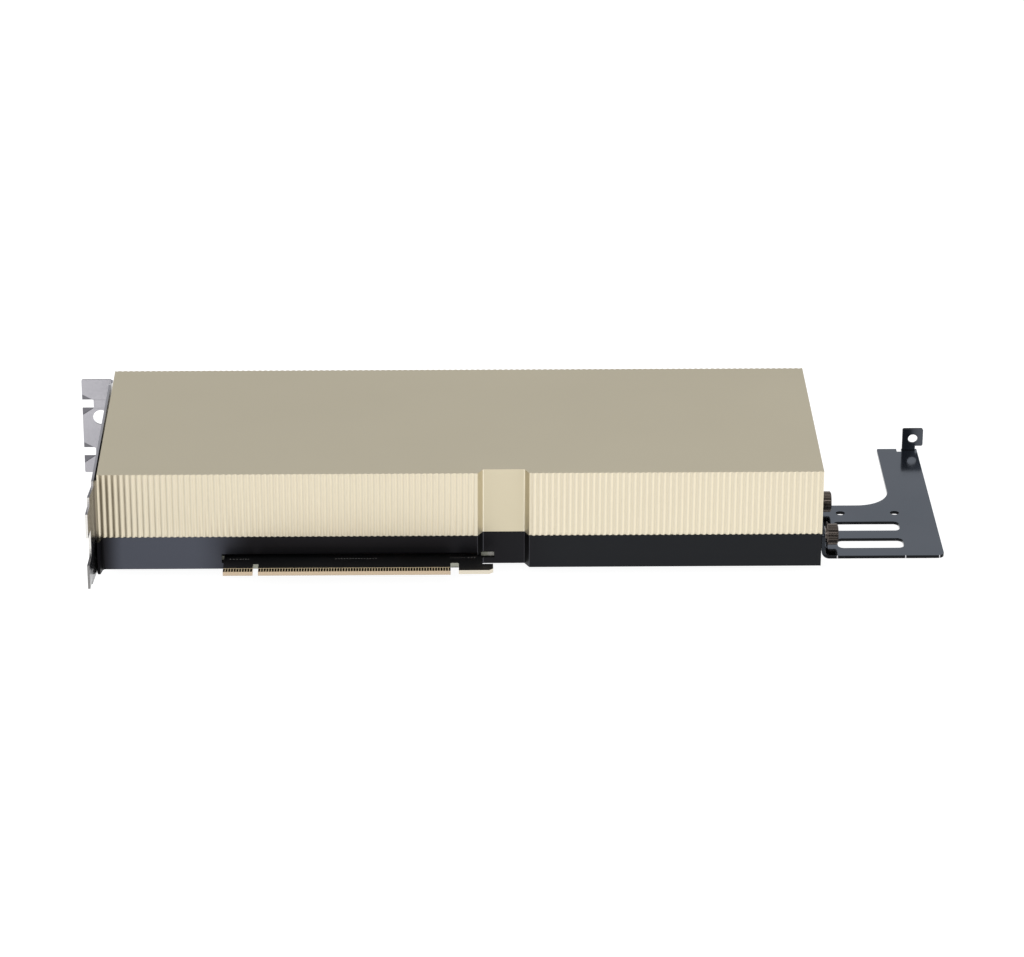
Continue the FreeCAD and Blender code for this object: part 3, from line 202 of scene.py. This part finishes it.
def gold_cover():
    m = Mat("gold_cover_satin")
    m.set(Metallic=0.92)
    x, y, z = m.xyz()
    nz = m.n("ShaderNodeSeparateXYZ")
    m.link(m.geo.outputs["Normal"], nz.inputs[0])
    big = m.noise(14.0, 3.0, 0.5)
    grain = m.noise(5200.0, 3.0, 0.7)
    base = m.ramp(big, [(0.25, (0.705, 0.640, 0.500)), (0.75, (0.735, 0.668, 0.522))])
    speck = m.range(grain, 0.3, 0.7, 0.0, 0.10)
    c = m.mix(speck, base, (0.60, 0.55, 0.42))
    # painted shade: up-facing faces of the top sheet are darkened and greyed a little against the walls
    up = m.range(nz.outputs[2], 0.80, 0.95, 0.0, 1.0)
    c = m.mix(up, c, m.mix(1.0, c, (0.88, 0.88, 0.85), "MULTIPLY"))
    # rib flanks that face the bracket carry its shade, fading along the card
    near = m.range(x, (1.5 - OX) * MM, (15.0 - OX) * MM, 1.0, 0.0, smooth=True)
    away = m.range(m.math("MULTIPLY", nz.outputs[0], -1.0), -0.42, 0.25, 0.0, 1.0, smooth=True)
    side = m.math("SUBTRACT", 1.0, up)
    front = m.math("LESS_THAN", y, (6.0 - OY) * MM)
    # painted highlight and shade lines along each rib, repeating with the rib pitch; the ribbed walls are also lifted
    # brighter as painted light
    turn = m.math("FRACT", m.math("MULTIPLY", m.math("ADD", x, OX * MM), 1.0 / (2.1707 * MM)))
    g = lambda v: (v, v, v)
    left_half = m.ramp(turn, [(0.0, g(0.90)), (0.36, g(0.87)), (0.52, g(1.0)), (0.64, g(0.86)),
                              (0.78, g(0.76)), (0.92, g(0.88))])
    right_half = m.ramp(turn, [(0.0, g(0.97)), (0.14, g(1.0)), (0.33, g(0.80)), (0.55, g(0.85)),
                               (0.75, g(0.79)), (0.92, g(0.91))])
    rib_highlight_shade = m.mix(m.math("GREATER_THAN", x, (150.0 - OX) * MM), left_half, right_half)
    ribbed = m.math("ADD", m.math("LESS_THAN", x, (139.3 - OX) * MM), m.math("GREATER_THAN", x, (158.9 - OX) * MM))
    rib_painted_lift = m.mix(1.0, c, (1.150, 1.150, 1.150), "MULTIPLY")
    c = m.mix(m.math("MULTIPLY", side, ribbed), c, m.mix(1.0, rib_painted_lift, rib_highlight_shade, "MULTIPLY"))
    shade = m.math("MULTIPLY", m.math("MULTIPLY", near, away), m.math("MULTIPLY", side, 0.62))
    c = m.mix(m.math("MULTIPLY", shade, front), c, (0.165, 0.115, 0.045))
    # painted shade: the narrow lip beside the bracket is darkened towards brown
    lip = m.math("MULTIPLY", m.math("LESS_THAN", x, (-0.05 - OX) * MM), 0.14)
    c = m.mix(lip, c, (0.12, 0.075, 0.03))
    # recess: painted shade makes the flat and slopes a little darker than the walls
    inside = m.math("MULTIPLY", m.range(x, (139.5 - OX) * MM, (139.9 - OX) * MM, 0.0, 1.0),
                    m.range(x, (158.4 - OX) * MM, (158.9 - OX) * MM, 1.0, 0.0))
    inside = m.math("MULTIPLY", inside, m.math("MULTIPLY", side, m.math("LESS_THAN", y, (6.0 - OY) * MM)))
    c = m.mix(inside, c, m.mix(1.0, c, (0.87, 0.86, 0.81), "MULTIPLY"))
    # painted shade on the left-facing slope of the recess
    left_facing = m.math("MULTIPLY", inside, m.range(m.math("MULTIPLY", nz.outputs[0], -1.0), 0.3, 0.7, 0.0, 1.0))
    c = m.mix(m.math("MULTIPLY", left_facing, 0.22), c, (0.05, 0.045, 0.03))
    # painted highlights along the rounded folds of the recess
    fold_highlight = None
    for lx in (141.67, 156.94):
        k = m.range(m.math("ABSOLUTE", m.math("SUBTRACT", x, (lx - OX) * MM)), 0.00010, 0.00034, 1.0, 0.0)
        fold_highlight = k if fold_highlight is None else m.math("MAXIMUM", fold_highlight, k)
    c = m.mix(m.math("MULTIPLY", fold_highlight, m.math("MULTIPLY", inside, 0.75)), c, (0.90, 0.85, 0.72))
    m.color(c)
    m.rough(m.range(grain, 0.3, 0.7, 0.43, 0.50))
    m.normal(m.bump(grain, 0.25, 0.00002))
    return m.m


def black_tray():
    m = Mat("black_tray_satin")
    m.set(Metallic=1.0)
    x, y, z = m.xyz()
    grain = m.noise(4200.0, 3.0, 0.65)
    big = m.noise(35.0, 3.0, 0.55)
    # painted reflection: a greyer patch on the front wall towards the bracket end, fading to painted shade right
    # beside the bracket
    fade = m.range(x, (34.0 - OX) * MM, (58.0 - OX) * MM, 1.0, 0.0, smooth=True)
    edge = m.range(x, (0.8 - OX) * MM, (9.0 - OX) * MM, 0.0, 1.0, smooth=True)
    fac = m.math("MULTIPLY", m.math("MULTIPLY", fade, edge), m.math("LESS_THAN", y, (30.0 - OY) * MM))
    far = m.range(x, (141.0 - OX) * MM, (175.0 - OX) * MM, 0.0, 1.0, smooth=True)
    dark = m.ramp(big, [(0.3, (0.0138, 0.0133, 0.0150)), (0.7, (0.0164, 0.0159, 0.0178))])
    dark = m.mix(far, dark, (0.0190, 0.0200, 0.0220))
    c = m.mix(fac, dark, (0.070, 0.075, 0.093))
    # painted shade: the lug and the corner beside the bracket are darkened to near black
    corner = m.range(x, (1.3 - OX) * MM, (2.0 - OX) * MM, 0.45, 0.0, smooth=True)
    c = m.mix(corner, c, (0.0015, 0.0015, 0.0016))
    # painted highlights along the folds of the recess on the front wall
    front = m.math("LESS_THAN", y, (4.4 - OY) * MM)
    fold_highlight = None
    for lx, wd, g in ((139.57, 0.00022, 0.8), (141.67, 0.00030, 1.0), (156.94, 0.00018, 0.9), (158.70, 0.00020, 1.0)):
        k = m.range(m.math("ABSOLUTE", m.math("SUBTRACT", x, (lx - OX) * MM)), 0.00004, wd, g, 0.0)
        fold_highlight = k if fold_highlight is None else m.math("MAXIMUM", fold_highlight, k)
    c = m.mix(m.math("MULTIPLY", fold_highlight, front), c, (0.060, 0.060, 0.068))
    m.color(c)
    m.rough(m.range(grain, 0.3, 0.7, 0.34, 0.44))
    m.normal(m.bump(grain, 0.3, 0.00002))
    return m.m


def bracket_steel():
    m = Mat("bracket_plated_sheet")
    m.set(Metallic=0.96)
    brushed = m.noise(900.0, 4.0, 0.65, stretch=(1.0, 0.06, 1.0))
    big = m.noise(45.0, 4.0, 0.6)
    x, y, z = m.xyz()
    c = m.ramp(big, [(0.3, (0.39, 0.382, 0.410)), (0.7, (0.47, 0.460, 0.488))])
    c = m.mix(m.range(brushed, 0.35, 0.7, 0.0, 0.22), c, (0.36, 0.36, 0.38))
    # painted shade on the coined ramps at the notch mouths
    back = m.math("GREATER_THAN", y, (98.9 - OY) * MM)
    ramp_shade = None
    for zc in (24.20, 3.95):
        t = m.range(x, (-13.3 - OX) * MM, (-9.1 - OX) * MM, 1.0, 0.0)
        for sgn, ht in ((1, 2.3), (-1, 2.8)):
            d = m.math("MULTIPLY", m.math("SUBTRACT", z, (zc + sgn * 1.775) * MM), float(sgn))
            lim = m.math("MULTIPLY", t, ht * MM)
            inside = m.math("MULTIPLY", m.range(m.math("SUBTRACT", lim, d), -0.0002, 0.0002, 0.0, 1.0),
                            m.range(d, -0.0002, 0.0001, 0.0, 1.0))
            ramp_shade = inside if ramp_shade is None else m.math("MAXIMUM", ramp_shade, inside)
    ramp_shade = m.math("MULTIPLY", ramp_shade, back)
    c = m.mix(m.math("MULTIPLY", ramp_shade, 0.80), c, (0.10, 0.098, 0.11))
    # the leaning front part: painted dark reflection on its inner faces, darker low down, and a painted highlight on
    # its cut edges, weaker low down
    nz = m.n("ShaderNodeSeparateXYZ")
    m.link(m.geo.outputs["Normal"], nz.inputs[0])
    front = m.range(y, (-2.5 - OY) * MM, (3.0 - OY) * MM, 1.0, 0.0)
    cutedge = m.range(m.math("MULTIPLY", nz.outputs[1], -1.0), 0.85, 0.97, 0.0, 1.0)
    inner_dark_reflection = m.math("MULTIPLY", front, m.range(nz.outputs[0], -0.55, -0.25, 0.0, 1.0))
    c = m.mix(m.math("MULTIPLY", inner_dark_reflection, 0.52), c, (0.075, 0.075, 0.078))
    low = m.range(z, 11.0 * MM, 13.0 * MM, 1.0, 0.0)
    foot_dark_reflection = m.math("MULTIPLY", inner_dark_reflection, low)
    c = m.mix(m.math("MULTIPLY", foot_dark_reflection, 0.78), c, (0.04, 0.04, 0.042))
    edge_highlight_level = m.range(low, 0.0, 1.0, 0.85, 0.20)
    c = m.mix(m.math("MULTIPLY", m.math("MULTIPLY", front, cutedge), edge_highlight_level), c, (0.80, 0.78, 0.74))
    m.color(c)
    m.rough(m.range(brushed, 0.3, 0.7, 0.14, 0.26))
    m.normal(m.bump(brushed, 0.12, 0.00003))
    return m.m


def slate_paint():
    m = Mat("slate_paint")
    m.set(Metallic=1.0)
    x, y, z = m.xyz()
    nz = m.n("ShaderNodeSeparateXYZ")
    m.link(m.geo.outputs["Normal"], nz.inputs[0])
    grain = m.noise(3600.0, 3.0, 0.6)
    big = m.noise(30.0, 3.0, 0.5)
    c = m.ramp(big, [(0.3, (0.128, 0.147, 0.176)), (0.7, (0.142, 0.160, 0.190))])
    # upright parts are darker, the flag a little lighter to its right
    flat = m.math("GREATER_THAN", m.math("ABSOLUTE", nz.outputs[2]), 0.75)
    low = m.math("LESS_THAN", z, 4.2 * MM)
    tall = m.math("GREATER_THAN", z, 4.1 * MM)
    c = m.mix(m.math("MULTIPLY", tall, 1.0), c,
              m.mix(m.range(x, (308.5 - OX) * MM, (314.5 - OX) * MM, 0.0, 1.0, smooth=True),
                    (0.026, 0.029, 0.034), (0.072, 0.078, 0.090)))
    # sheared edges are nearly black; three small painted highlights, glints on burrs, on the front one
    edge = m.math("MULTIPLY", m.math("SUBTRACT", 1.0, flat), low)
    c = m.mix(edge, c, (0.0125, 0.0130, 0.0145))
    front = m.math("LESS_THAN", y, (0.6 - OY) * MM)
    burr_glint = None
    for bx in (273.0, 298.4, 311.0):
        k = m.range(m.math("ABSOLUTE", m.math("SUBTRACT", x, (bx - OX) * MM)), 0.00012, 0.00022, 1.0, 0.0)
        burr_glint = k if burr_glint is None else m.math("MAXIMUM", burr_glint, k)
    c = m.mix(m.math("MULTIPLY", burr_glint, m.math("MULTIPLY", front, low)), c, (0.55, 0.55, 0.57))
    m.color(c)
    m.rough(m.range(grain, 0.3, 0.7, 0.10, 0.16))
    m.normal(m.bump(grain, 0.10, 0.000012))
    return m.m


def solder_mask():
    m = Mat("solder_mask")
    m.b.inputs["Specular IOR Level"].default_value = 0.35
    m.b.inputs["Coat Weight"].default_value = 0.0
    x, y, z = m.xyz()
    nz = m.n("ShaderNodeSeparateXYZ")
    m.link(m.geo.outputs["Normal"], nz.inputs[0])
    up = m.math("ABSOLUTE", nz.outputs[2])
    weave = m.noise(2500.0, 2.0, 0.5)
    # bare laminate where the contacts are, mask behind it
    bare = m.math("LESS_THAN", y, (-8.15 - OY) * MM)
    hook = m.math("GREATER_THAN", x, (131.0 - OX) * MM)
    bare = m.math("MULTIPLY", bare, m.math("SUBTRACT", 1.0, hook))
    mask = m.ramp(m.noise(50.0), [(0.3, (0.0042, 0.0043, 0.0046)), (0.7, (0.0062, 0.0062, 0.0068))])
    c = m.mix(bare, mask, (0.46, 0.38, 0.25))
    # sawn edges show pale layers of glass cloth, the lead-in bevel is warmer
    layers = m.n("ShaderNodeTexWave", wave_type="BANDS", bands_direction="Z", wave_profile="SIN")
    layers.inputs["Scale"].default_value = 900.0
    layers.inputs["Distortion"].default_value = 1.5
    m.link(m.co.outputs["Object"], layers.inputs["Vector"])
    side = m.mix(m.math("MULTIPLY", layers.outputs["Fac"], 0.35), (0.62, 0.565, 0.46), (0.50, 0.44, 0.33))
    side = m.mix(m.math("MULTIPLY", bare, 0.8), side, (0.425, 0.315, 0.205))
    # edges that lie deep between other parts are shaded and greener
    deep = m.math("GREATER_THAN", y, (3.0 - OY) * MM)
    side = m.mix(deep, side, m.mix(m.range(x, (143.0 - OX) * MM, (144.2 - OX) * MM, 0.0, 1.0),
                                   (0.20, 0.205, 0.165), (0.34, 0.33, 0.30)))
    nook = m.math("MULTIPLY", m.math("GREATER_THAN", y, (-5.4 - OY) * MM), m.math("SUBTRACT", 1.0, deep))
    side = m.mix(m.math("MULTIPLY", nook, 0.9), side, (0.27, 0.285, 0.245))
    edge = m.range(up, 0.80, 0.93, 1.0, 0.0)
    m.color(m.mix(edge, c, side))
    m.rough(m.range(weave, 0.3, 0.7, 0.30, 0.42))
    m.normal(m.bump(weave, 0.15, 0.00002))
    return m.m


GOLD = gold_cover()
BLACK = black_tray()
STEEL = bracket_steel()
SLATE = slate_paint()
MASK = solder_mask()
MATS = {
    "shroud": GOLD, "base_tray": BLACK, "io_bracket": STEEL, "extender_bracket": SLATE,
    "circuit_board": MASK,
    "edge_contacts": simple("contact_gold", (0.262, 0.170, 0.076), 1.0, 0.16, 0.10, 2200.0, 0.05, rvar=0.03),
    "processor_substrate": simple("package_laminate", (0.03, 0.10, 0.055), 0.0, 0.45),
    "processor_die": simple("silicon", (0.10, 0.10, 0.13), 0.6, 0.14, 0.05, 300.0, 0.02),
    "memory_stacks": simple("silicon_dark", (0.05, 0.05, 0.06), 0.4, 0.2, 0.05, 300.0, 0.02),
    "package_stiffener": simple("nickel", (0.55, 0.54, 0.52), 1.0, 0.3),
    "thermal_interface": simple("compound", (0.35, 0.35, 0.37), 0.0, 0.6),
    "vapor_chamber": simple("copper", (0.72, 0.38, 0.24), 1.0, 0.32),
    "heatsink": simple("plain_aluminium", (0.62, 0.62, 0.63), 1.0, 0.34, 0.06, 700.0, 0.15,
                       (0.05, 1, 1)),
    "backing_plate": simple("zinc_plate", (0.48, 0.48, 0.50), 1.0, 0.35),
    "heatsink_screws": simple("screw_nickel", (0.52, 0.52, 0.53), 1.0, 0.3),
    "board_screws": simple("screw_zinc", (0.50, 0.50, 0.51), 1.0, 0.33),
    "insulating_film": simple("film", (0.015, 0.015, 0.016), 0.0, 0.35),
    "inductors": simple("ferrite", (0.06, 0.06, 0.064), 0.1, 0.6, 0.2, 1400.0, 0.4),
    "power_stages": simple("mould", (0.022, 0.022, 0.023), 0.0, 0.55),
    "thermal_pads": simple("pad_silicone", (0.42, 0.50, 0.58), 0.0, 0.75),
    "capacitors": simple("can_aluminium", (0.66, 0.66, 0.67), 1.0, 0.28),
    "logic_chips": simple("chip_mould", (0.02, 0.02, 0.021), 0.0, 0.5),
    "power_connector": simple("nylon_black", (0.014, 0.014, 0.015), 0.0, 0.38),
    "power_pins": simple("tin", (0.62, 0.61, 0.57), 1.0, 0.25),
    "bracket_screws": simple("black_zinc", (0.03, 0.03, 0.032), 0.7, 0.34),
    "cover_screws": simple("black_zinc_2", (0.03, 0.03, 0.032), 0.7, 0.34),
    "thumbscrew_front": simple("dark_oxide", (0.118, 0.100, 0.088), 0.95, 0.22, 0.2, 1500.0, 0.15),
    "thumbscrew_rear": simple("dark_oxide_2", (0.118, 0.100, 0.088), 0.95, 0.22, 0.2, 1500.0, 0.15),
    "thumbscrew_washers": simple("washer_steel", (0.40, 0.40, 0.41), 1.0, 0.35),
    "threaded_inserts": simple("brass", (0.60, 0.46, 0.20), 1.0, 0.3),
}
for name, mat in MATS.items():
    o = N[name]
    o.data.materials.clear()
    o.data.materials.append(mat)


# ---------------------------------------------------- broken edges, as made
def break_edges(name, width, segments=2, angle=32.0):
    """A small true round on every sharp edge of a CAD piece, inside its own size."""
    o = N[name]
    w = o.modifiers.new("join", "WELD")
    w.merge_threshold = 1e-6
    d = o.modifiers.new("plane", "DECIMATE")
    d.decimate_type = "DISSOLVE"
    d.angle_limit = math.radians(0.4)
    d.use_dissolve_boundaries = False
    b = o.modifiers.new("edge", "BEVEL")
    b.width = width * MM
    b.segments = segments
    b.limit_method = "ANGLE"
    b.angle_limit = math.radians(angle)
    b.use_clamp_overlap = True
    b.harden_normals = False
    b.miter_outer = "MITER_ARC"


for name, width in (("base_tray", 0.18), ("extender_bracket", 0.14), ("io_bracket", 0.14)):
    break_edges(name, width)


# --------------------------------------------------------- plated test holes
def add_vias():
    """Rows of small plated holes on the board just behind the contacts: thin rings."""
    bm = bmesh.new()

    def ring(x, y, r0, r1):
        z0, z1 = 4.07 * MM, 4.085 * MM
        k = 10
        rows = []
        for r, z in ((r1, z0), (r1 * 0.96, z1), (r0, z1), (r0 * 0.96, z0)):
            rows.append([bm.verts.new(P(x + r * math.cos(2 * math.pi * i / k),
                                        y + r * math.sin(2 * math.pi * i / k), 0)
                                      + Vector((0, 0, z))) for i in range(k)])
        for a, b in zip(rows, rows[1:]):
            for i in range(k):
                bm.faces.new((a[i], a[(i + 1) % k], b[(i + 1) % k], b[i]))

    x = 48.2
    while x < 55.2:
        ring(x, -0.35, 0.11, 0.24)
        x += 0.98 if x > 51.5 else 1.25
    x = 87.2
    while x < 102.6:
        ring(x, -0.35, 0.10, 0.23)
        x += 1.06
    x = 129.6
    while x < 135.2:
        ring(x, 0.05, 0.06, 0.17)
        ring(x, 2.7, 0.05, 0.12)
        x += 0.83
    for x in (136.2, 137.5, 138.5):
        ring(x, 0.15, 0.12, 0.25)
    me = bpy.data.meshes.new("board_test_holes")
    bm.to_mesh(me)
    bm.free()
    o = bpy.data.objects.new("board_test_holes", me)
    bpy.context.scene.collection.objects.link(o)
    o.data.materials.append(simple("tinned_rings", (0.20, 0.195, 0.185), 0.0, 0.5, 0.15, 1500.0, 0.1))
    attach(o, "root")


add_vias()


# ------------------------------------------------------------- floor, light
def add_floor():
    me = bpy.data.meshes.new("floor")
    z = -4.85 * MM
    s = 6.0
    me.from_pydata([(-s, -s, z), (s, -s, z), (s, s, z), (-s, s, z)], [], [(0, 1, 2, 3)])
    o = bpy.data.objects.new("floor", me)
    bpy.context.scene.collection.objects.link(o)
    m = bpy.data.materials.new("pale_floor")
    m.use_nodes = True
    t = m.node_tree
    t.nodes.clear()
    out = t.nodes.new("ShaderNodeOutputMaterial")
    add = t.nodes.new("ShaderNodeAddShader")
    e = t.nodes.new("ShaderNodeEmission")
    e.inputs["Color"].default_value = (1, 1, 1, 1)
    e.inputs["Strength"].default_value = 0.94
    d = t.nodes.new("ShaderNodeBsdfDiffuse")
    d.inputs["Color"].default_value = (0.22, 0.22, 0.22, 1)
    t.links.new(e.outputs[0], add.inputs[0])
    t.links.new(d.outputs[0], add.inputs[1])
    t.links.new(add.outputs[0], out.inputs[0])
    o.data.materials.append(m)


add_floor()


def add_area(name, loc, target, size, power, color=(1, 1, 1)):
    l = bpy.data.lights.new(name, "AREA")
    l.shape = "RECTANGLE"
    l.size, l.size_y = size
    l.energy = power
    l.color = color
    o = bpy.data.objects.new(name, l)
    o.location = loc
    o.rotation_euler = (Vector(target) - Vector(loc)).to_track_quat("-Z", "Y").to_euler()
    bpy.context.scene.collection.objects.link(o)
    return o


add_area("key_front", (-0.3, -2.2, 1.6), (0, 0, 0), (1.8, 1.2), 14.0)
add_area("top_soft", (0.2, 0.2, 2.2), (0, 0, 0), (2.0, 2.0), 12.0)
add_area("side_left", (-1.7, -0.75, 0.75), (0, 0, 0), (1.1, 1.2), 15.0)
add_area("side_right", (1.7, -0.75, 0.75), (0, 0, 0), (1.1, 1.2), 15.0)

w = bpy.data.worlds.new("studio")
bpy.context.scene.world = w
w.use_nodes = True
bg = w.node_tree.nodes["Background"]
bg.inputs["Color"].default_value = (0.56, 0.565, 0.58, 1)
bg.inputs["Strength"].default_value = 1.0
bpy.context.scene.view_settings.view_transform = "Standard"
bpy.context.scene.view_settings.look = "None"
